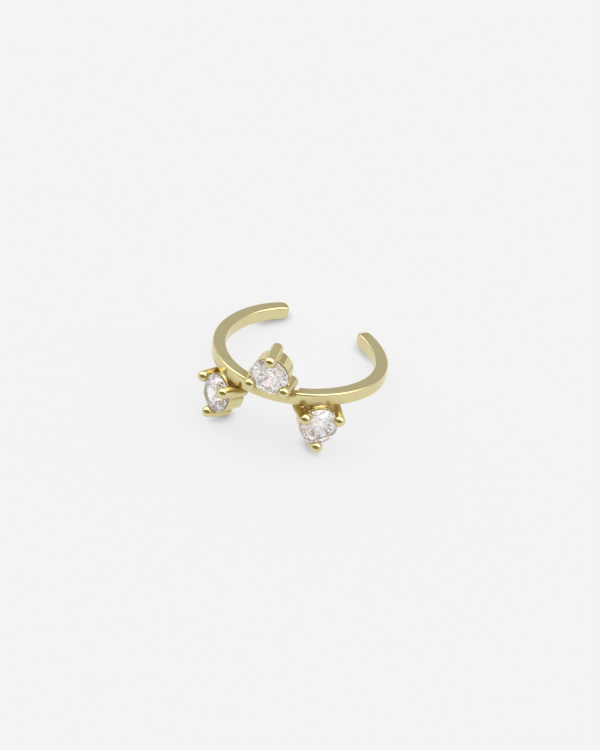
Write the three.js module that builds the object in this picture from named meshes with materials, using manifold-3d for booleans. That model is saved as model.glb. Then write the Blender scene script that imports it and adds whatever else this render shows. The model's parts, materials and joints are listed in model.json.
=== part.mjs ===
// An open ear cuff: a square-section band whose front carries three prong settings, one above it and one
// below it on each side, each holding a round brilliant-cut stone.
// Millimetres, +Z up. The cuff lies on its side as it comes to rest by itself, with its front towards -Y,
// and the origin is the middle of its footprint, on the surface that it rests on.

import * as THREE from "three";
import { ConvexHull } from "three/addons/math/ConvexHull.js";
import { ConvexGeometry } from "three/addons/geometries/ConvexGeometry.js";
import { mergeVertices } from "three/addons/utils/BufferGeometryUtils.js";
import Module from "manifold-3d";

// Driving sizes of the band
const BAND_INNER_RADIUS = 5.53;
const BAND_THICKNESS = 0.97; // across the wall, from the inner face to the outer one
const BAND_HEIGHT = 1.0; // along the ring's axis
const BAND_EDGE_RADIUS = 0.15;
const GAP_WIDTH = 5.47; // between the inner corners of the two free ends
const GAP_TURN = -2; // degrees by which the gap is turned from straight behind the centre setting
const END_ROUND_LENGTH = 0.58; // how far back from its face an end starts to round over
const END_ROUND = { outer: 0.62, inner: 0.1, top: 0.12, bottom: 0.38 }; // how deep each side rounds over

// The band was closed by hand, so it is slightly out of round. Each row is a wave round the ring: how many
// lobes it has, and its height as a share of the middle radius, ahead on the setting's line and aside of it.
const BAND_BENDS = [
  { lobes: 2, ahead: 0.016, aside: 0.01 },
  { lobes: 3, ahead: -0.004, aside: -0.019 },
  { lobes: 4, ahead: 0.008, aside: 0.004 },
];

// Driving sizes of a stone, a round brilliant cut
const STONE_DIAMETER = 2.8;
const TABLE_DIAMETER = 1.6;
const CROWN_HEIGHT = 0.43;
const GIRDLE_HEIGHT = 0.08;
const PAVILION_DEPTH = 1.2;
const STAR_REACH = 0.52; // where the star facets end, as a share of the way from the table to the girdle
const LOWER_HALF_REACH = 0.77; // how far the lower halves run from the girdle to the culet
const FACET_FOLDS = 8;

// Driving sizes of a setting
const STONE_CLEARANCE = 0.04; // between a stone and the metal that holds it
const STONE_STANDOFF = 0.49; // from the band's outer face out to the girdle's middle
const CUP_RADIUS = 1.42; // at its rim
const CUP_TAPER = 0.1; // how much narrower the cup is at its back
const CUP_DEPTH = 1.6; // from the girdle's middle back to the cup's back
const CUP_BORE_RADIUS = 0.75;
const CUP_RIM_DROP = 0.2; // from the girdle's middle down to the rim
const CUP_EDGE_RADIUS = 0.06;
const PRONG_RADIUS = 0.43;
const PRONG_TIP_CIRCLE = 1.48; // radius of the circle through the middles of the domed tips
const PRONG_TIP_REACH = 0.36; // from the girdle's middle forward to the middle of a dome
const PRONG_BACK_REACH = 1.5; // from the girdle's middle back to a prong's back end
const PRONG_BACK_ROUND = 0.12;
const PRONG_LEAN = 4.8; // degrees by which a prong leans in over its stone
const PRONGS_PER_CUP = 3;

// How the settings meet the band
const SOLDER_DEPTH = 0.08; // how far a cup's wall sinks into the metal that it is soldered to
const SADDLE_DEPTH = 0.24; // the shallow seat in the band's top face under the centre setting
const SADDLE_MARGIN = 0.04; // between the seat's ends and the prongs that it clears

// Degrees: around the band from its front, then how far the hand-soldered setting points sideways and upward
// of square to the band, and is twisted round its own axis
const SETTINGS = [
  { side: "left", around: -36.3, sideways: 0.7, upward: 3.9, twist: 0.6, first_prong: 30 },
  { side: "centre", around: 0, sideways: 3.8, upward: -4.2, twist: 0.7, first_prong: 90 },
  { side: "right", around: 34.1, sideways: -0.5, upward: 2.1, twist: -3.5, first_prong: 30 },
];

// How finely round surfaces are cut into flats
const BAND_STEP = 5; // degrees round the band
const END_STEPS = 4;
const EDGE_STEPS = 2; // flats on one softened edge
const CUP_SIDES = 36;
const PRONG_SIDES = 16;
const DOME_STEPS = 4;
const MERGE_DISTANCE = 1e-5;

const GOLD = { color: 0xd6c88c, roughness: 0.12, metalness: 1 };
const CLEAR_STONE = { color: 0xf4f4f8, roughness: 0.02, metalness: 0 };

// Sizes that follow from the driving ones
const BAND_MIDDLE_RADIUS = BAND_INNER_RADIUS + BAND_THICKNESS / 2;
const BAND_OUTER_RADIUS = BAND_INNER_RADIUS + BAND_THICKNESS;
const HALF_GAP_ANGLE = Math.asin(GAP_WIDTH / 2 / BAND_INNER_RADIUS);
const GAP_TURN_ANGLE = THREE.MathUtils.degToRad(GAP_TURN);
const GIRDLE_RADIUS = STONE_DIAMETER / 2;
const GIRDLE_HALF = GIRDLE_HEIGHT / 2;
const STONE_OUT = BAND_OUTER_RADIUS + STONE_STANDOFF; // the girdle's middle, from the ring's axis
const CUP_BACK_RADIUS = CUP_RADIUS - CUP_TAPER;
const PRONG_LEAN_ANGLE = THREE.MathUtils.degToRad(PRONG_LEAN);
const PRONG_LENGTH = (PRONG_TIP_REACH + PRONG_BACK_REACH) / Math.cos(PRONG_LEAN_ANGLE);
const PRONG_BACK_CIRCLE = PRONG_TIP_CIRCLE + PRONG_LENGTH * Math.sin(PRONG_LEAN_ANGLE);
const SIDE_STONE_HEIGHT = -BAND_HEIGHT - CUP_RADIUS + SOLDER_DEPTH;
const CENTRE_STONE_HEIGHT = -SADDLE_DEPTH + CUP_RADIUS - SOLDER_DEPTH;
const SADDLE_HALF_WIDTH = PRONG_BACK_CIRCLE * Math.cos(Math.PI / 6) + PRONG_RADIUS + SADDLE_MARGIN;

const wasm = await Module();
wasm.setup();

// A closed geometry as a solid that can be joined and cut
function solidOf(geometry) {
  const bare = geometry.clone();
  bare.deleteAttribute("normal");
  bare.deleteAttribute("uv");
  const merged = mergeVertices(bare, MERGE_DISTANCE);
  return new wasm.Manifold(
    new wasm.Mesh({
      numProp: 3,
      vertProperties: new Float32Array(merged.attributes.position.array),
      triVerts: new Uint32Array(merged.index.array),
    }),
  );
}

// A solid back as a geometry with flat-shaded faces
function geometryOf(solid) {
  const mesh = solid.getMesh();
  const geometry = new THREE.BufferGeometry();
  geometry.setAttribute("position", new THREE.BufferAttribute(mesh.vertProperties, 3));
  geometry.setIndex(new THREE.BufferAttribute(mesh.triVerts, 1));
  geometry.computeVertexNormals();
  return geometry;
}

// A closed skin through rings of points that all have as many points, with a flat cap at each end
function loft(rings) {
  const count = rings[0].length;
  const faces = [];
  for (let row = 0; row + 1 < rings.length; row += 1) {
    for (let i = 0; i < count; i += 1) {
      const next = (i + 1) % count;
      const here = row * count;
      const ahead = here + count;
      faces.push(here + i, ahead + i, ahead + next);
      faces.push(here + i, ahead + next, here + next);
    }
  }
  const last = (rings.length - 1) * count;
  for (let i = 1; i + 1 < count; i += 1) {
    faces.push(0, i, i + 1);
    faces.push(last, last + i + 1, last + i);
  }
  const geometry = new THREE.BufferGeometry().setFromPoints(rings.flat());
  geometry.setIndex(faces);
  return geometry;
}

// A turned shape from radius and height pairs, about +Z
function turned(profile, sides) {
  const points = profile.map(([radius, height]) => new THREE.Vector2(radius, height));
  return new THREE.LatheGeometry(points, sides).rotateX(Math.PI / 2);
}

// How far the hand-closed band stands off a true circle at an angle from its front
function bendAt(angle) {
  return BAND_BENDS.reduce(
    (sum, bend) =>
      sum + bend.ahead * Math.cos(bend.lobes * angle) + bend.aside * Math.sin(bend.lobes * angle),
    0,
  ) * BAND_MIDDLE_RADIUS;
}

// Points round a rectangle with softened corners, each as radius and height
function softRectangle(inner, outer, bottom, top) {
  const soft = Math.min(BAND_EDGE_RADIUS, (outer - inner) / 3, (top - bottom) / 3);
  const corners = [
    { radius: outer - soft, height: bottom + soft, start: -90 },
    { radius: outer - soft, height: top - soft, start: 0 },
    { radius: inner + soft, height: top - soft, start: 90 },
    { radius: inner + soft, height: bottom + soft, start: 180 },
  ];
  return corners.flatMap(({ radius, height, start }) =>
    Array.from({ length: EDGE_STEPS + 1 }, (_, step) => {
      const turn = THREE.MathUtils.degToRad(start + (90 * step) / EDGE_STEPS);
      return [radius + soft * Math.cos(turn), height + soft * Math.sin(turn)];
    }),
  );
}

// One section of the band; rounding goes from 0 on the plain band to 1 at the face of an end
function bandSection(angle, rounding) {
  const bend = bendAt(angle);
  const section = softRectangle(
    BAND_INNER_RADIUS + bend + END_ROUND.inner * rounding,
    BAND_OUTER_RADIUS + bend - END_ROUND.outer * rounding,
    -BAND_HEIGHT + END_ROUND.bottom * rounding,
    -END_ROUND.top * rounding,
  );
  return section.map(
    ([radius, height]) =>
      new THREE.Vector3(radius * Math.sin(angle), -radius * Math.cos(angle), height),
  );
}

// The band from one free end round the front to the other
function bandGeometry() {
  const roundAngle = END_ROUND_LENGTH / BAND_MIDDLE_RADIUS;
  const plainEnd = Math.PI - HALF_GAP_ANGLE - roundAngle;
  const plainSteps = Math.ceil((2 * plainEnd) / THREE.MathUtils.degToRad(BAND_STEP));
  const endStations = Array.from({ length: END_STEPS }, (_, step) => {
    const turn = ((step + 1) / END_STEPS) * (Math.PI / 2);
    return { angle: plainEnd + roundAngle * Math.sin(turn), rounding: 1 - Math.cos(turn) };
  });
  const plainStations = Array.from({ length: plainSteps + 1 }, (_, step) => ({
    angle: -plainEnd + (2 * plainEnd * step) / plainSteps,
    rounding: 0,
  }));
  const stations = [
    ...endStations.map(({ angle, rounding }) => ({ angle: -angle, rounding })).reverse(),
    ...plainStations,
    ...endStations,
  ];
  return loft(stations.map(({ angle, rounding }) => bandSection(angle + GAP_TURN_ANGLE, rounding)));
}

// The shallow seat across the band's top face, which the centre setting stands in
function saddleGeometry() {
  const reach = BAND_THICKNESS * 3;
  const box = new THREE.BoxGeometry(2 * SADDLE_HALF_WIDTH, reach, 2 * SADDLE_DEPTH);
  return box.translate(0, -BAND_MIDDLE_RADIUS, 0);
}

// The outline of half a stone with a margin round it, from the culet to the table
function stoneEnvelope(margin) {
  return turned(
    [
      [0, -GIRDLE_HALF - PAVILION_DEPTH - margin],
      [GIRDLE_RADIUS + margin, -GIRDLE_HALF - margin],
      [GIRDLE_RADIUS + margin, GIRDLE_HALF + margin],
      [TABLE_DIAMETER / 2 + margin, GIRDLE_HALF + CROWN_HEIGHT + margin],
      [0, GIRDLE_HALF + CROWN_HEIGHT + margin],
    ],
    CUP_SIDES,
  );
}

// A stone's cup, open at the back, with its rim just behind the girdle
function cupGeometry() {
  const slope = PAVILION_DEPTH / GIRDLE_RADIUS;
  const rimInner = GIRDLE_RADIUS - (CUP_RIM_DROP - GIRDLE_HALF) / slope + STONE_CLEARANCE;
  const coneEnd = CUP_RIM_DROP + (rimInner - CUP_BORE_RADIUS) * slope;
  const outline = [
    [CUP_BORE_RADIUS, -coneEnd],
    [CUP_BORE_RADIUS, -CUP_DEPTH],
    [CUP_BACK_RADIUS - CUP_EDGE_RADIUS, -CUP_DEPTH],
    [CUP_BACK_RADIUS, -CUP_DEPTH + CUP_EDGE_RADIUS],
    [CUP_RADIUS, -CUP_RIM_DROP - CUP_EDGE_RADIUS],
    [CUP_RADIUS - CUP_EDGE_RADIUS, -CUP_RIM_DROP],
    [rimInner, -CUP_RIM_DROP],
    [CUP_BORE_RADIUS, -coneEnd],
  ];
  return turned(outline, CUP_SIDES);
}

// A quarter round between a prong's wall and its axis: from the wall to the axis, or back
function quarterRound(height, depth, rise) {
  return Array.from({ length: DOME_STEPS + 1 }, (_, step) => {
    const turn = (step / DOME_STEPS) * (Math.PI / 2);
    return [PRONG_RADIUS - depth * (1 - Math.cos(turn)), height + rise * Math.sin(turn)];
  });
}

// A prong along +Z, from its softened back end at the origin to its domed tip
function prongGeometry() {
  const back = quarterRound(PRONG_BACK_ROUND, PRONG_BACK_ROUND, -PRONG_BACK_ROUND).reverse();
  const tip = quarterRound(PRONG_LENGTH, PRONG_RADIUS, PRONG_RADIUS);
  return turned([[0, 0], ...back, ...tip], PRONG_SIDES);
}

// Where a prong stands in its setting: its back end on the back circle, leaning in over the stone
function prongPlace(angle) {
  const place = new THREE.Object3D();
  place.rotation.set(0, -PRONG_LEAN_ANGLE, angle, "ZYX");
  place.position.set(
    PRONG_BACK_CIRCLE * Math.cos(angle),
    PRONG_BACK_CIRCLE * Math.sin(angle),
    -PRONG_BACK_REACH,
  );
  place.updateMatrix();
  return place.matrix;
}

// Cup and prongs of one setting, about +Z, with the seat for the stone cut out of them
function settingSolid({ first_prong, twist }) {
  let metal = solidOf(cupGeometry());
  for (let i = 0; i < PRONGS_PER_CUP; i += 1) {
    const angle = THREE.MathUtils.degToRad(first_prong + twist + (360 * i) / PRONGS_PER_CUP);
    metal = metal.add(solidOf(prongGeometry().applyMatrix4(prongPlace(angle))));
  }
  return metal.subtract(solidOf(stoneEnvelope(STONE_CLEARANCE)));
}

// Where a setting's frame stands on the cuff: X along the band, Y up, Z out through the stone's table
function settingPlace({ side, around, sideways, upward }) {
  const place = new THREE.Group();
  const angle = THREE.MathUtils.degToRad(around);
  const heading = THREE.MathUtils.degToRad(around + sideways);
  const height = side === "centre" ? CENTRE_STONE_HEIGHT : SIDE_STONE_HEIGHT;
  place.position.set(STONE_OUT * Math.sin(angle), -STONE_OUT * Math.cos(angle), height);
  place.rotation.set(Math.PI / 2 - THREE.MathUtils.degToRad(upward), 0, heading, "ZYX");
  place.updateMatrix();
  return place;
}

// A ring of stone corners at a radius and height, starting at a share of one fold
function corners(radius, height, count, offset) {
  return Array.from({ length: count }, (_, i) => {
    const angle = ((i + offset) / count) * 2 * Math.PI;
    return new THREE.Vector3(radius * Math.cos(angle), radius * Math.sin(angle), height);
  });
}

// A round brilliant about +Z with its table up: table, stars, kites, upper halves, girdle, lower halves, mains
function brilliantGeometry() {
  const table = TABLE_DIAMETER / 2;
  const halfFold = Math.cos(Math.PI / FACET_FOLDS);
  const starRadius = (table + (GIRDLE_RADIUS - table) * STAR_REACH) / halfFold;
  const starHeight = CROWN_HEIGHT * (1 - STAR_REACH);
  const halfRadius = (GIRDLE_RADIUS * (1 - LOWER_HALF_REACH)) / halfFold;
  const halfDepth = PAVILION_DEPTH * LOWER_HALF_REACH;
  return new ConvexGeometry([
    ...corners(table, GIRDLE_HALF + CROWN_HEIGHT, FACET_FOLDS, 0),
    ...corners(starRadius, GIRDLE_HALF + starHeight, FACET_FOLDS, 0.5),
    ...corners(GIRDLE_RADIUS, GIRDLE_HALF, 2 * FACET_FOLDS, 0),
    ...corners(GIRDLE_RADIUS, -GIRDLE_HALF, 2 * FACET_FOLDS, 0),
    ...corners(halfRadius, -GIRDLE_HALF - halfDepth, FACET_FOLDS, 0.5),
    new THREE.Vector3(0, 0, -GIRDLE_HALF - PAVILION_DEPTH),
  ]);
}

// Band and settings soldered into one piece of metal
function frameMesh() {
  let metal = solidOf(bandGeometry()).subtract(solidOf(saddleGeometry()));
  for (const setting of SETTINGS) {
    const { matrix } = settingPlace(setting);
    metal = metal.add(settingSolid(setting).transform(matrix.elements));
  }
  const mesh = new THREE.Mesh(geometryOf(metal), new THREE.MeshStandardMaterial(GOLD));
  mesh.name = "cuff_frame";
  return mesh;
}

// A setting's place on the cuff, holding its stone
function placedStone(setting) {
  const place = settingPlace(setting);
  const stone = new THREE.Mesh(brilliantGeometry(), new THREE.MeshStandardMaterial(CLEAR_STONE));
  stone.name = `stone_${setting.side}`;
  stone.rotation.z = THREE.MathUtils.degToRad(setting.twist);
  place.add(stone);
  return place;
}

// Every corner of the meshes under an object, in that object's parent frame
function cornersOf(object) {
  const points = [];
  object.updateMatrixWorld(true);
  object.traverse((item) => {
    if (!item.isMesh) return;
    const positions = item.geometry.attributes.position;
    for (let i = 0; i < positions.count; i += 1) {
      points.push(new THREE.Vector3().fromBufferAttribute(positions, i).applyMatrix4(item.matrixWorld));
    }
  });
  return points;
}

// The centre of volume of a closed geometry
function centreOfVolume(geometry) {
  const { position } = geometry.attributes;
  const sum = new THREE.Vector3();
  let volume = 0;
  for (let i = 0; i < geometry.index.count; i += 3) {
    const [a, b, c] = [0, 1, 2].map((k) =>
      new THREE.Vector3().fromBufferAttribute(position, geometry.index.getX(i + k)),
    );
    const share = a.dot(new THREE.Vector3().crossVectors(b, c));
    sum.addScaledVector(a.add(b).add(c), share / 4);
    volume += share;
  }
  return sum.divideScalar(volume);
}

// The outward normal of the flat that the cuff settles on: of the hull's faces that have the centre of mass
// over them, the one that faces down the most
function restingNormal(points, centre) {
  let best = new THREE.Vector3(0, 0, 1);
  for (const face of new ConvexHull().setFromPoints(points).faces) {
    const foot = centre.clone().addScaledVector(face.normal, -face.distanceToPoint(centre));
    const loop = [face.edge.tail(), face.edge.head(), face.edge.next.head()].map(({ point }) => point);
    const triangle = new THREE.Triangle(...loop);
    if (triangle.containsPoint(foot) && face.normal.z < best.z) best = face.normal.clone();
  }
  return best;
}

// Turns the cuff on to the flat that it settles on and stands it on the surface, over the origin
function layDown(cuff, centre) {
  const down = new THREE.Vector3(0, 0, -1);
  cuff.quaternion.setFromUnitVectors(restingNormal(cornersOf(cuff), centre), down);
  const box = new THREE.Box3().setFromPoints(cornersOf(cuff));
  const middle = box.getCenter(new THREE.Vector3());
  cuff.position.set(-middle.x, -middle.y, -box.min.z);
}

const frame = frameMesh();
const cuff = new THREE.Group();
cuff.add(frame, ...SETTINGS.map(placedStone));
layDown(cuff, centreOfVolume(frame.geometry));

const part = new THREE.Group();
part.add(cuff);
export default part;
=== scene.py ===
# An open ear cuff of polished pale gold with three round stones, lying on a pale floor in soft light.
# Metres, +Z up. Sizes of the metal are the ones that its solid was made with.

import json
import math

import bpy
import numpy as np
from mathutils import Matrix, Vector


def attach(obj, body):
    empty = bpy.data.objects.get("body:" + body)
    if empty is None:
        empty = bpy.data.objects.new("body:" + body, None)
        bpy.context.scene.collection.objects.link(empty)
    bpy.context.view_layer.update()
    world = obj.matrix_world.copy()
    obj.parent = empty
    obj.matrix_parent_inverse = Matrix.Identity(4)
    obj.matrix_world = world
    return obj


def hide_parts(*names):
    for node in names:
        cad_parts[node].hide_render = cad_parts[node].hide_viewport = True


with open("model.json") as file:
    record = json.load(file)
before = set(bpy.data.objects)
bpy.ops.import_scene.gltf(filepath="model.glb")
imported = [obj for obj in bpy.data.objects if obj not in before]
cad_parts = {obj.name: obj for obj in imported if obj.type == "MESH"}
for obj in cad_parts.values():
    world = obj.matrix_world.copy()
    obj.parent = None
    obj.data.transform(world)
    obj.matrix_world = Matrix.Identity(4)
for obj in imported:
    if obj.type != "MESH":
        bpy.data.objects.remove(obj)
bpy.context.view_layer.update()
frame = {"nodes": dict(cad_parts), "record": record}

MM = 0.001

# Sizes of the band
BAND_INNER_RADIUS = 5.53 * MM
BAND_THICKNESS = 0.97 * MM
BAND_HEIGHT = 1.0 * MM
BAND_EDGE_RADIUS = 0.15 * MM
GAP_WIDTH = 5.47 * MM
GAP_TURN = math.radians(-2)
END_ROUND_LENGTH = 0.58 * MM
END_ROUND = {"outer": 0.62 * MM, "inner": 0.1 * MM, "top": 0.12 * MM, "bottom": 0.38 * MM}
END_EDGE_BLEND = 0.08 * MM

# Waves that take the band out of round: lobes round the ring and heights as shares of the middle radius
BAND_BENDS = [
    {"lobes": 2, "ahead": 0.016, "aside": 0.01},
    {"lobes": 3, "ahead": -0.004, "aside": -0.019},
    {"lobes": 4, "ahead": 0.008, "aside": 0.004},
]

# Sizes of a stone's seat
STONE_RADIUS = 1.4 * MM
TABLE_RADIUS = 0.8 * MM
CROWN_HEIGHT = 0.43 * MM
GIRDLE_HALF = 0.04 * MM
PAVILION_DEPTH = 1.2 * MM
STONE_CLEARANCE = 0.04 * MM

# Sizes of a setting
STONE_STANDOFF = 0.49 * MM
CUP_RADIUS = 1.42 * MM
CUP_TAPER = 0.1 * MM
CUP_DEPTH = 1.6 * MM
CUP_BORE_RADIUS = 0.75 * MM
CUP_RIM_DROP = 0.2 * MM
CUP_EDGE_BLEND = 0.04 * MM
PRONG_RADIUS = 0.43 * MM
PRONG_TIP_CIRCLE = 1.48 * MM
PRONG_TIP_REACH = 0.36 * MM
PRONG_BACK_REACH = 1.5 * MM
PRONG_BACK_BLEND = 0.2 * MM
PRONG_LEAN = math.radians(4.8)
PRONGS_PER_CUP = 3

# How the metal is joined and cut
SOLDER_DEPTH = 0.08 * MM
SADDLE_DEPTH = 0.24 * MM
SADDLE_MARGIN = 0.04 * MM
SADDLE_BLEND = 0.08 * MM
PRONG_SOLDER_BLEND = 0.18 * MM
BAND_SOLDER_BLEND = 0.24 * MM
SEAT_BLEND = 0.03 * MM

# Degrees: round the band from its front, pointing sideways and upward, and twisted round the stone's axis
SETTINGS = [
    {"side": "left", "around": -36.3, "sideways": 0.7, "upward": 3.9, "twist": 0.6, "first_prong": 30},
    {"side": "centre", "around": 0, "sideways": 3.8, "upward": -4.2, "twist": 0.7, "first_prong": 90},
    {"side": "right", "around": 34.1, "sideways": -0.5, "upward": 2.1, "twist": -3.5, "first_prong": 30},
]

# How finely the metal's skin is made
GRID_STEP = 0.056 * MM
COARSE_CELLS = 8
GRID_MARGIN = 0.3 * MM
RELAX_ROUNDS = 3
PULL_ROUNDS = 3
PINCH_ROUNDS = 2
SLOPE_STEP = 0.004 * MM

# The camera, from the middle of the band's top face, against the plane of the band
CAMERA_ELEVATION = math.radians(29.66)
CAMERA_AROUND = math.radians(-15.1)
CAMERA_ROLL = math.radians(9.63)
CAMERA_DISTANCE = 333.3 * MM
CAMERA_LENS = 220.7
CAMERA_AIM_RIGHT = -0.016 * MM
CAMERA_AIM_UP = -1.949 * MM

# The light tent, from its open front, at -1, over the top to its back, at 1: its colour close to the
# horizon, its colour higher up, and what its overhead panel adds. It stays the same before its first row.
TENT_STRENGTH = 2.5
TENT = [
    {"toward_back": -0.3, "low": (0.85, 0.84, 0.8), "high": (0.29, 0.25, 0.13), "panel": (0, 0, 0)},
    {"toward_back": -0.12, "low": (0.85, 0.84, 0.8), "high": (0.9, 0.9, 0.88), "panel": (1.5, 1.5, 1.5)},
    {"toward_back": 0.5, "low": (0.7, 0.64, 0.6), "high": (0.9, 0.9, 0.88), "panel": (1.5, 1.5, 1.5)},
    {"toward_back": 0.75, "low": (0.5, 0.4, 0.34), "high": (0.64, 0.64, 0.63), "panel": (0, 0, 0)},
    {"toward_back": 1.0, "low": (0.5, 0.4, 0.34), "high": (0.58, 0.58, 0.58), "panel": (0, 0, 0)},
]
LOW_TENT_EDGE = {"from": 0.03, "to": 0.2}
PANEL_EDGE = {"from": 0.3, "to": 0.6}

# The clear stones: faint clouds in their tint, how strongly they bend light, and a faint painted glow that
# lifts them
STONE_TINTS = ((0.99, 0.97, 0.96), (1.0, 1.0, 1.0))
STONE_CLOUDS = {"scale": 1200, "detail": 2}
STONE_INDEX = 2.15
# A faint painted glow, lit by no lamp, that lifts the stones' dark facets
STONE_PAINTED_GLOW = 0.04
STONE_PAINTED_GLOW_COLOUR = (1.0, 0.95, 0.9)

# What the stones throw back, from dark to bright: broken patches of the bright surround
SPARKLE_SIZE = {"scale": 4, "detail": 1}
SPARKLES = [
    {"share": 0.0, "colour": (0.2, 0.14, 0.1)},
    {"share": 0.2, "colour": (0.4, 0.33, 0.29)},
    {"share": 0.35, "colour": (0.6, 0.54, 0.5)},
    {"share": 0.55, "colour": (0.74, 0.71, 0.67)},
    {"share": 0.68, "colour": (0.62, 0.76, 1.0)},
    {"share": 0.76, "colour": (0.86, 0.82, 0.8)},
    {"share": 0.85, "colour": (1.05, 0.8, 0.85)},
    {"share": 1.0, "colour": (1.6, 1.55, 1.55)},
]

# Polished gold: its plain tones, a painted shade and duller polish in its recesses, and its faint marks
GOLD_TONES = ((0.74, 0.65, 0.35), (0.76, 0.68, 0.375))
# The darker gold painted into recesses as shade
RECESS_PAINTED_SHADE = (0.6, 0.46, 0.19)
RECESS_REACH = 0.8 * MM
RECESS_SHARE = 1.25
RECESS_ROUGHNESS = 0.3
GOLD_ROUGHNESS = (0.07, 0.12)
GOLD_BUMP = 0.03
GOLD_BUMP_DEPTH = 0.01 * MM
GOLD_CLOUDS = {"scale": 900, "detail": 3}
GOLD_WEAR = {"scale": 2500, "detail": 4}
GOLD_MARKS = {"scale": 6000, "detail": 3}

# The part of its range that a noise mostly keeps to
NOISE_RANGE = (0.3, 0.7)

# The floor: lit from below as a light table is, and by the tent, with a painted contact shadow close to
# what lies on it
FLOOR_HALF_WIDTH = 1.5
FLOOR_GLOW = 0.76
FLOOR_GLOW_COLOUR = (0.985, 0.985, 1.0)
FLOOR_TONE = 0.12
# How far the painted contact shadow reaches and how far it dims the floor's glow
CONTACT_SHADOW_REACH = 0.6 * MM
CONTACT_SHADOW_GLOW = 0.3
FLOOR_ROUGHNESS = 0.9

# Sizes that follow
BAND_MIDDLE_RADIUS = BAND_INNER_RADIUS + BAND_THICKNESS / 2
BAND_OUTER_RADIUS = BAND_INNER_RADIUS + BAND_THICKNESS
HALF_GAP_ANGLE = math.asin(GAP_WIDTH / 2 / BAND_INNER_RADIUS)
END_ROUND_ANGLE = END_ROUND_LENGTH / BAND_MIDDLE_RADIUS
PLAIN_END_ANGLE = math.pi - HALF_GAP_ANGLE - END_ROUND_ANGLE
STONE_OUT = BAND_OUTER_RADIUS + STONE_STANDOFF
PRONG_LENGTH = (PRONG_TIP_REACH + PRONG_BACK_REACH) / math.cos(PRONG_LEAN)
PRONG_BACK_CIRCLE = PRONG_TIP_CIRCLE + PRONG_LENGTH * math.sin(PRONG_LEAN)
SIDE_STONE_HEIGHT = -BAND_HEIGHT - CUP_RADIUS + SOLDER_DEPTH
CENTRE_STONE_HEIGHT = -SADDLE_DEPTH + CUP_RADIUS - SOLDER_DEPTH
SADDLE_HALF_WIDTH = PRONG_BACK_CIRCLE * math.cos(math.pi / 6) + PRONG_RADIUS + SADDLE_MARGIN
SETTING_REACH = math.hypot(PRONG_BACK_CIRCLE + PRONG_RADIUS, CUP_DEPTH) + SEAT_BLEND
CLOSE_LOOK = max(BAND_SOLDER_BLEND, RECESS_REACH)


def soft_min(a, b, blend):
    """The smaller of two distances, with a fillet where they meet."""
    overlap = np.maximum(blend - np.abs(a - b), 0) / blend
    return np.minimum(a, b) - overlap**2 * blend / 4


def soft_max(a, b, blend):
    """The larger of two distances, with a rounded edge where they meet."""
    return -soft_min(-a, -b, blend)


def bend_at(angle):
    """How far the band stands off a true circle at an angle from its front."""
    waves = sum(
        bend["ahead"] * np.cos(bend["lobes"] * angle) + bend["aside"] * np.sin(bend["lobes"] * angle)
        for bend in BAND_BENDS
    )
    return waves * BAND_MIDDLE_RADIUS


def band_distance(points):
    """How far points of the cuff's own frame lie outside the band, which rounds over at its two ends."""
    x, y, z = points.T
    radius = np.hypot(x, y)
    angle = np.arctan2(x, -y)
    along = np.abs(np.angle(np.exp(1j * (angle - GAP_TURN))))
    share = np.clip((along - PLAIN_END_ANGLE) / END_ROUND_ANGLE, 0, 1)
    rounding = 1 - np.sqrt(1 - share**2)
    bend = bend_at(angle)
    inner = BAND_INNER_RADIUS + bend + END_ROUND["inner"] * rounding
    outer = BAND_OUTER_RADIUS + bend - END_ROUND["outer"] * rounding
    bottom = -BAND_HEIGHT + END_ROUND["bottom"] * rounding
    top = -END_ROUND["top"] * rounding
    across = np.abs(radius - (inner + outer) / 2) - (outer - inner) / 2 + BAND_EDGE_RADIUS
    upright = np.abs(z - (bottom + top) / 2) - (top - bottom) / 2 + BAND_EDGE_RADIUS
    past_edge = np.hypot(np.maximum(across, 0), np.maximum(upright, 0))
    section = np.minimum(np.maximum(across, upright), 0) + past_edge - BAND_EDGE_RADIUS
    past_end = (along - PLAIN_END_ANGLE - END_ROUND_ANGLE) * BAND_MIDDLE_RADIUS
    return soft_max(section, past_end, END_EDGE_BLEND)


def saddle_distance(points):
    """How far points lie outside the shallow seat cut into the band's top face at the front."""
    x, y, z = points.T
    width = np.abs(x) - SADDLE_HALF_WIDTH
    return np.maximum(np.maximum(width, -SADDLE_DEPTH - z), y)


def seat_distance(points):
    """How far points of a setting's frame lie outside the room that its stone takes."""
    radius = np.hypot(points[:, 0], points[:, 1])
    height = points[:, 2]
    girdle = radius - STONE_RADIUS - STONE_CLEARANCE
    table = height - GIRDLE_HALF - CROWN_HEIGHT - STONE_CLEARANCE
    crown_slope = math.atan2(STONE_RADIUS - TABLE_RADIUS, CROWN_HEIGHT)
    crown = (radius - TABLE_RADIUS) * math.cos(crown_slope) + table * math.sin(crown_slope)
    pavilion_slope = math.atan2(STONE_RADIUS, PAVILION_DEPTH)
    culet = height + GIRDLE_HALF + PAVILION_DEPTH
    pavilion = radius * math.cos(pavilion_slope) - culet * math.sin(pavilion_slope) - STONE_CLEARANCE
    return np.maximum(np.maximum(girdle, table), np.maximum(crown, pavilion))


def cup_distance(points):
    """How far points of a setting's frame lie outside its cup."""
    radius = np.hypot(points[:, 0], points[:, 1])
    height = points[:, 2]
    outer = CUP_RADIUS - CUP_TAPER * (-CUP_RIM_DROP - height) / (CUP_DEPTH - CUP_RIM_DROP)
    ends = np.maximum(height + CUP_RIM_DROP, -CUP_DEPTH - height)
    wall = np.maximum(radius - outer, CUP_BORE_RADIUS - radius)
    return soft_max(wall, ends, CUP_EDGE_BLEND)


def prong_distance(points):
    """How far points of a prong's own frame lie outside it: a rod along +Z with a domed tip."""
    radius = np.hypot(points[:, 0], points[:, 1])
    past_tip = np.maximum(points[:, 2] - PRONG_LENGTH, 0)
    rod = np.hypot(radius, past_tip) - PRONG_RADIUS
    return soft_max(rod, -PRONG_BACK_BLEND / 4 - points[:, 2], PRONG_BACK_BLEND)


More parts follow.
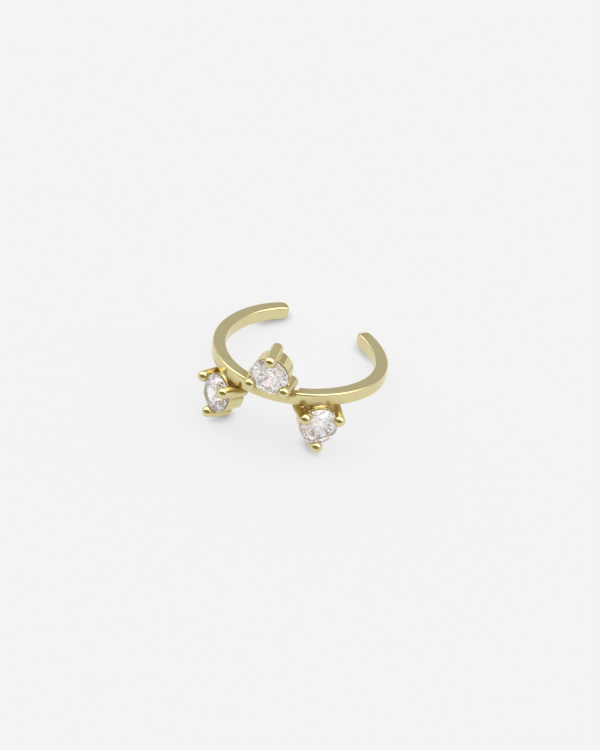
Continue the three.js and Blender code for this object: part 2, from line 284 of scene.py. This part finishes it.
def setting_place(setting):
    """Where a setting stands on the cuff: X along the band, Y up, Z out through the stone's table."""
    angle = math.radians(setting["around"])
    heading = math.radians(setting["around"] + setting["sideways"])
    height = CENTRE_STONE_HEIGHT if setting["side"] == "centre" else SIDE_STONE_HEIGHT
    middle = (STONE_OUT * math.sin(angle), -STONE_OUT * math.cos(angle), height)
    lean = Matrix.Rotation(math.pi / 2 - math.radians(setting["upward"]), 3, "X")
    turn = Matrix.Rotation(heading, 3, "Z") @ lean
    return np.array(middle), np.array(turn)


def prong_place(setting, number):
    """Where a prong stands in its setting: its back end on the back circle, leaning in over the stone."""
    angle = math.radians(setting["first_prong"] + setting["twist"]) + number * math.tau / PRONGS_PER_CUP
    foot = (PRONG_BACK_CIRCLE * math.cos(angle), PRONG_BACK_CIRCLE * math.sin(angle), -PRONG_BACK_REACH)
    turn = Matrix.Rotation(angle, 3, "Z") @ Matrix.Rotation(-PRONG_LEAN, 3, "Y")
    return np.array(foot), np.array(turn)


def setting_distance(points, setting):
    """How far points of the cuff's frame lie outside a setting's cup and prongs."""
    middle, turn = setting_place(setting)
    points = (points - middle) @ turn
    metal = cup_distance(points)
    for number in range(PRONGS_PER_CUP):
        foot, lean = prong_place(setting, number)
        metal = soft_min(metal, prong_distance((points - foot) @ lean), PRONG_SOLDER_BLEND)
    return soft_max(metal, -seat_distance(points), SEAT_BLEND)


def metal_distance(points):
    """How far points of the cuff's frame lie outside the metal, settings in detail only close to them."""
    metal = soft_max(band_distance(points), -saddle_distance(points), SADDLE_BLEND)
    for setting in SETTINGS:
        middle, _ = setting_place(setting)
        outside = np.linalg.norm(points - middle, axis=1) - SETTING_REACH
        close = outside < CLOSE_LOOK
        outside[close] = setting_distance(points[close], setting)
        metal = soft_min(metal, outside, BAND_SOLDER_BLEND)
    return metal


def slope_at(points):
    """Which way the distance to the metal grows, and how steeply."""
    steps = np.eye(3) * SLOPE_STEP
    rises = [metal_distance(points + step) - metal_distance(points - step) for step in steps]
    return np.stack(rises, axis=1) / (2 * SLOPE_STEP)


def sampled_field(low, high):
    """Distances on a fine grid between two corners, worked out only near the metal's skin."""
    block = GRID_STEP * COARSE_CELLS
    counts = np.ceil((high - low) / block).astype(int)
    blocks = np.stack(np.indices(counts), axis=-1).reshape(-1, 3)
    far = metal_distance(low + (blocks + 0.5) * block)
    field = far.reshape(counts)
    for axis in range(3):
        field = field.repeat(COARSE_CELLS, axis)
    near = np.argwhere(np.abs(field) < block)
    field[tuple(near.T)] = metal_distance(low + (near + 0.5) * GRID_STEP)
    return field


def without_pinches(inside):
    """Samples with a square filled in where only its diagonal was, so the skin never pinches to a line."""
    for _ in range(PINCH_ROUNDS):
        for axes in ((0, 1), (0, 2), (1, 2)):
            face = np.moveaxis(inside, axes, (0, 1))
            corners = [face[:-1, :-1], face[1:, 1:], face[:-1, 1:], face[1:, :-1]]
            pinch = (corners[0] == corners[1]) & (corners[2] == corners[3]) & (corners[0] != corners[2])
            for corner in corners:
                corner |= pinch
    return inside


def skin_of(field):
    """A vertex in each grid cell that the skin passes through, and a quad for each edge that it cuts."""
    inside = without_pinches(field < 0)
    corners = [(i, j, k) for i in (0, 1) for j in (0, 1) for k in (0, 1)]
    size = np.array(field.shape) - 1
    count = sum(
        inside[tuple(slice(start, start + cells) for start, cells in zip(corner, size))].astype(int)
        for corner in corners
    )
    crossed = (count > 0) & (count < len(corners))
    number = np.full(crossed.shape, -1)
    number[crossed] = np.arange(crossed.sum())
    quads = []
    for axis in range(3):
        across = np.eye(3, dtype=int)[(axis + 1) % 3]
        up = np.eye(3, dtype=int)[(axis + 2) % 3]
        first = inside.take(range(size[axis]), axis)
        second = inside.take(range(1, size[axis] + 1), axis)
        for solid_first in (True, False):
            edges = np.argwhere((first != second) & (first == solid_first))
            loop = [edges - across - up, edges - up, edges, edges - across]
            quad = np.stack([number[tuple(cells.T)] for cells in loop], axis=1)
            quads.append(quad if solid_first else quad[:, ::-1])
    return np.argwhere(crossed) + 1.0, np.concatenate(quads)


def relaxed(points, quads):
    """Vertices eased along the skin towards the middle of the quads round them."""
    middles = points[quads].mean(axis=1)
    share = np.bincount(quads.ravel(), minlength=len(points))
    eased = np.empty_like(points)
    for axis in range(3):
        eased[:, axis] = np.bincount(quads.ravel(), middles[:, axis].repeat(4), len(points)) / share
    return eased


def pulled(points):
    """Vertices brought on to the true skin of the metal."""
    for _ in range(PULL_ROUNDS):
        slope = slope_at(points)
        steepness = (slope**2).sum(axis=1)
        points = points - (metal_distance(points) / steepness)[:, None] * slope
    return points


def make_metal(place):
    """The band and its settings as one smooth skin."""
    reach = STONE_OUT + PRONG_TIP_REACH + PRONG_RADIUS + GRID_MARGIN
    below = SIDE_STONE_HEIGHT - PRONG_BACK_CIRCLE - PRONG_RADIUS - GRID_MARGIN
    above = CENTRE_STONE_HEIGHT + PRONG_BACK_CIRCLE + PRONG_RADIUS + GRID_MARGIN
    low, high = np.array([-reach, -reach, below]), np.array([reach, reach, above])
    cells, quads = skin_of(sampled_field(low, high))
    points = pulled(low + cells * GRID_STEP)
    for _ in range(RELAX_ROUNDS):
        points = pulled(relaxed(points, quads))
    normals = slope_at(points)
    normals /= np.linalg.norm(normals, axis=1)[:, None]
    mesh = bpy.data.meshes.new("cuff_metal")
    mesh.from_pydata(points.tolist(), [], quads.tolist())
    mesh.shade_smooth()
    mesh.normals_split_custom_set_from_vertices(normals.tolist())
    mesh.transform(place)
    # How shut in each point is by metal in front of it: there shade is painted into the gold and its
    # polish dulled
    room = metal_distance(points + normals * RECESS_REACH) / RECESS_REACH
    recess = mesh.attributes.new("recess", "FLOAT", "POINT")
    recess.data.foreach_set("value", np.clip(RECESS_SHARE * (1 - room), 0, 1))
    metal = bpy.data.objects.new("cuff_metal", mesh)
    bpy.context.scene.collection.objects.link(metal)
    return metal


def cuff_place():
    """The cuff's own frame in the part: the band's top face is its Z = 0, and its front faces -Y."""
    side = next(mount for mount in frame["record"]["mounts"] if mount["name"] == "band_side")
    turn = Vector((0, 0, 1)).rotation_difference(Vector(side["axis"])).to_matrix()
    marked = Vector((BAND_MIDDLE_RADIUS + float(bend_at(math.pi / 2)), 0, 0))
    return Matrix.Translation(Vector(side["pos_m"]) - turn @ marked) @ turn.to_4x4()


def make_camera(place):
    """The camera at the photograph's angle to the band."""
    around = Vector((math.cos(CAMERA_AROUND), -math.sin(CAMERA_AROUND), 0))
    across = Vector((-math.sin(CAMERA_AROUND), -math.cos(CAMERA_AROUND), 0))
    upright = Vector((0, 0, 1))
    down = across * math.sin(CAMERA_ELEVATION) - upright * math.cos(CAMERA_ELEVATION)
    back = across * math.cos(CAMERA_ELEVATION) + upright * math.sin(CAMERA_ELEVATION)
    right = around * math.cos(CAMERA_ROLL) - down * math.sin(CAMERA_ROLL)
    up = -(around * math.sin(CAMERA_ROLL) + down * math.cos(CAMERA_ROLL))
    eye = back * CAMERA_DISTANCE
    target = right * CAMERA_AIM_RIGHT + up * CAMERA_AIM_UP
    back = (eye - target).normalized()
    right = up.cross(back).normalized()
    up = back.cross(right)
    camera = bpy.data.objects.new("camera", bpy.data.cameras.new("camera"))
    turn = Matrix((right, up, back)).transposed().to_4x4()
    camera.matrix_world = place @ Matrix.Translation(eye) @ turn
    camera.data.lens = CAMERA_LENS
    camera.data.clip_start = CAMERA_DISTANCE / 10
    camera.data.clip_end = CAMERA_DISTANCE * 10
    bpy.context.scene.collection.objects.link(camera)
    bpy.context.scene.camera = camera


def new_material(name):
    """A node material with its Principled shader."""
    material = bpy.data.materials.new(name)
    material.use_nodes = True
    return material, material.node_tree, material.node_tree.nodes["Principled BSDF"]


def noise(tree, size):
    """A noise in object space; its scale is in bumps for each metre."""
    place = tree.nodes.new("ShaderNodeTexCoord")
    texture = tree.nodes.new("ShaderNodeTexNoise")
    texture.inputs["Scale"].default_value = size["scale"]
    texture.inputs["Detail"].default_value = size["detail"]
    tree.links.new(place.outputs["Object"], texture.inputs["Vector"])
    return texture.outputs["Fac"]


def spread_between(tree, value, start, end, low, high):
    """A value spread evenly from one range over another."""
    spread = tree.nodes.new("ShaderNodeMapRange")
    spread.inputs["From Min"].default_value = start
    spread.inputs["From Max"].default_value = end
    spread.inputs["To Min"].default_value = low
    spread.inputs["To Max"].default_value = high
    tree.links.new(value, spread.inputs["Value"])
    return spread.outputs["Result"]


def ranged(tree, value, low, high):
    """A noise value spread over a range."""
    return spread_between(tree, value, *NOISE_RANGE, low, high)


def mixed(tree, share, first, second):
    """A colour between two, by a share."""
    mix = tree.nodes.new("ShaderNodeMix")
    mix.data_type = "RGBA"
    for socket, colour in (("A", first), ("B", second)):
        if isinstance(colour, tuple):
            mix.inputs[socket].default_value = (*colour, 1)
        else:
            tree.links.new(colour, mix.inputs[socket])
    tree.links.new(share, mix.inputs["Factor"])
    return mix.outputs["Result"]


def gold_material():
    """Polished pale gold with faint clouds in its colour and fine marks, with a darker painted shade in
    its recesses.
    """
    material, tree, shader = new_material("polished_gold")
    plain = mixed(tree, ranged(tree, noise(tree, GOLD_CLOUDS), 0, 1), *GOLD_TONES)
    recess = tree.nodes.new("ShaderNodeAttribute")
    recess.attribute_name = "recess"
    # The gold turns towards the painted shade where the recess share is high
    tree.links.new(mixed(tree, recess.outputs["Fac"], plain, RECESS_PAINTED_SHADE), shader.inputs["Base Color"])
    shader.inputs["Metallic"].default_value = 1
    dullness = tree.nodes.new("ShaderNodeMath")
    dullness.operation = "MULTIPLY_ADD"
    tree.links.new(recess.outputs["Fac"], dullness.inputs[0])
    dullness.inputs[1].default_value = RECESS_ROUGHNESS
    tree.links.new(ranged(tree, noise(tree, GOLD_WEAR), *GOLD_ROUGHNESS), dullness.inputs[2])
    tree.links.new(dullness.outputs["Value"], shader.inputs["Roughness"])
    bump = tree.nodes.new("ShaderNodeBump")
    bump.inputs["Strength"].default_value = GOLD_BUMP
    bump.inputs["Distance"].default_value = GOLD_BUMP_DEPTH
    tree.links.new(noise(tree, GOLD_MARKS), bump.inputs["Height"])
    tree.links.new(bump.outputs["Normal"], shader.inputs["Normal"])
    return material


def stone_material():
    """Clear cut stone with faint clouds in its tint and a faint painted glow that lifts it."""
    material, tree, shader = new_material("clear_stone")
    tint = mixed(tree, ranged(tree, noise(tree, STONE_CLOUDS), 0, 1), *STONE_TINTS)
    tree.links.new(tint, shader.inputs["Base Color"])
    shader.inputs["Transmission Weight"].default_value = 1
    shader.inputs["Roughness"].default_value = 0
    shader.inputs["IOR"].default_value = STONE_INDEX
    # Painted glow: the stone gives off a little light of its own
    shader.inputs["Emission Color"].default_value = (*STONE_PAINTED_GLOW_COLOUR, 1)
    shader.inputs["Emission Strength"].default_value = STONE_PAINTED_GLOW
    return material


def floor_material():
    """Plain pale floor, partly lit from below, with a painted contact shadow that dims its glow close to
    what lies on it.
    """
    material, tree, shader = new_material("pale_floor")
    shader.inputs["Base Color"].default_value = (FLOOR_TONE, FLOOR_TONE, FLOOR_TONE, 1)
    shader.inputs["Emission Color"].default_value = (*FLOOR_GLOW_COLOUR, 1)
    # Painted contact shadow: the floor's glow is dimmed where metal is near
    contact_shadow = tree.nodes.new("ShaderNodeAmbientOcclusion")
    contact_shadow.inputs["Distance"].default_value = CONTACT_SHADOW_REACH
    glow = spread_between(tree, contact_shadow.outputs["AO"], 0, 1, CONTACT_SHADOW_GLOW * FLOOR_GLOW, FLOOR_GLOW)
    tree.links.new(glow, shader.inputs["Emission Strength"])
    shader.inputs["Roughness"].default_value = FLOOR_ROUGHNESS
    shader.inputs["Specular IOR Level"].default_value = 0
    return material


def make_floor():
    """The surface that the cuff lies on."""
    signs = [(-1, -1), (1, -1), (1, 1), (-1, 1)]
    corners = [(x * FLOOR_HALF_WIDTH, y * FLOOR_HALF_WIDTH, 0) for x, y in signs]
    mesh = bpy.data.meshes.new("floor")
    mesh.from_pydata(corners, [], [(0, 1, 2, 3)])
    floor = bpy.data.objects.new("floor", mesh)
    mesh.materials.append(floor_material())
    bpy.context.scene.collection.objects.link(floor)


def fill_ramp(ramp, stops):
    """Sets a colour ramp's stops, with colours that the tent's strength brings back to full."""
    while len(ramp.elements) < len(stops):
        ramp.elements.new(1)
    for element, (share, colour) in zip(ramp.elements, stops):
        element.position = share
        element.color = (*(value / TENT_STRENGTH for value in colour), 1)


def tent_colour(tree, along, column):
    """One column of the tent's table in a direction."""
    ramp = tree.nodes.new("ShaderNodeValToRGB")
    ramp.color_ramp.interpolation = "EASE"
    fill_ramp(ramp.color_ramp, [((row["toward_back"] + 1) / 2, row[column]) for row in TENT])
    tree.links.new(along, ramp.inputs["Fac"])
    return ramp.outputs["Color"]


def tent_light(tree, heading):
    """The tent's light in a direction: dark at its open front, bright over the top, paler at its back."""
    parts = tree.nodes.new("ShaderNodeSeparateXYZ")
    tree.links.new(heading, parts.inputs[0])
    along = spread_between(tree, parts.outputs["Y"], -1, 1, 0, 1)
    raised = spread_between(tree, parts.outputs["Z"], LOW_TENT_EDGE["from"], LOW_TENT_EDGE["to"], 0, 1)
    overhead = spread_between(tree, parts.outputs["Z"], PANEL_EDGE["from"], PANEL_EDGE["to"], 0, 1)
    walls = mixed(tree, raised, tent_colour(tree, along, "low"), tent_colour(tree, along, "high"))
    lit = tree.nodes.new("ShaderNodeMix")
    lit.data_type = "RGBA"
    lit.blend_type = "ADD"
    tree.links.new(overhead, lit.inputs["Factor"])
    tree.links.new(walls, lit.inputs["A"])
    tree.links.new(tent_colour(tree, along, "panel"), lit.inputs["B"])
    return lit.outputs["Result"]


def sparkle_light(tree, heading):
    """The broken bright surround that light passing through a stone comes from."""
    texture = tree.nodes.new("ShaderNodeTexNoise")
    texture.inputs["Scale"].default_value = SPARKLE_SIZE["scale"]
    texture.inputs["Detail"].default_value = SPARKLE_SIZE["detail"]
    ramp = tree.nodes.new("ShaderNodeValToRGB")
    fill_ramp(ramp.color_ramp, [(row["share"], row["colour"]) for row in SPARKLES])
    tree.links.new(heading, texture.inputs["Vector"])
    tree.links.new(ranged(tree, texture.outputs["Fac"], 0, 1), ramp.inputs["Fac"])
    return ramp.outputs["Color"]


def make_light():
    """Soft studio light from all round, in broken patches where it comes through a stone."""
    world = bpy.data.worlds.new("studio")
    bpy.context.scene.world = world
    world.use_nodes = True
    tree = world.node_tree
    heading = tree.nodes.new("ShaderNodeTexCoord").outputs["Generated"]
    path = tree.nodes.new("ShaderNodeLightPath")
    through_stone = path.outputs["Is Transmission Ray"]
    light = mixed(tree, through_stone, tent_light(tree, heading), sparkle_light(tree, heading))
    background = tree.nodes["Background"]
    tree.links.new(light, background.inputs["Color"])
    background.inputs["Strength"].default_value = TENT_STRENGTH
    bpy.context.scene.view_settings.view_transform = "Standard"


place = cuff_place()
make_camera(place)
metal = make_metal(place)
metal.data.materials.append(gold_material())
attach(metal, "root")
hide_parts("cuff_frame")
clear_stone = stone_material()
for setting in SETTINGS:
    stone = frame["nodes"]["stone_" + setting["side"]]
    stone.data.materials.clear()
    stone.data.materials.append(clear_stone)
make_floor()
make_light()
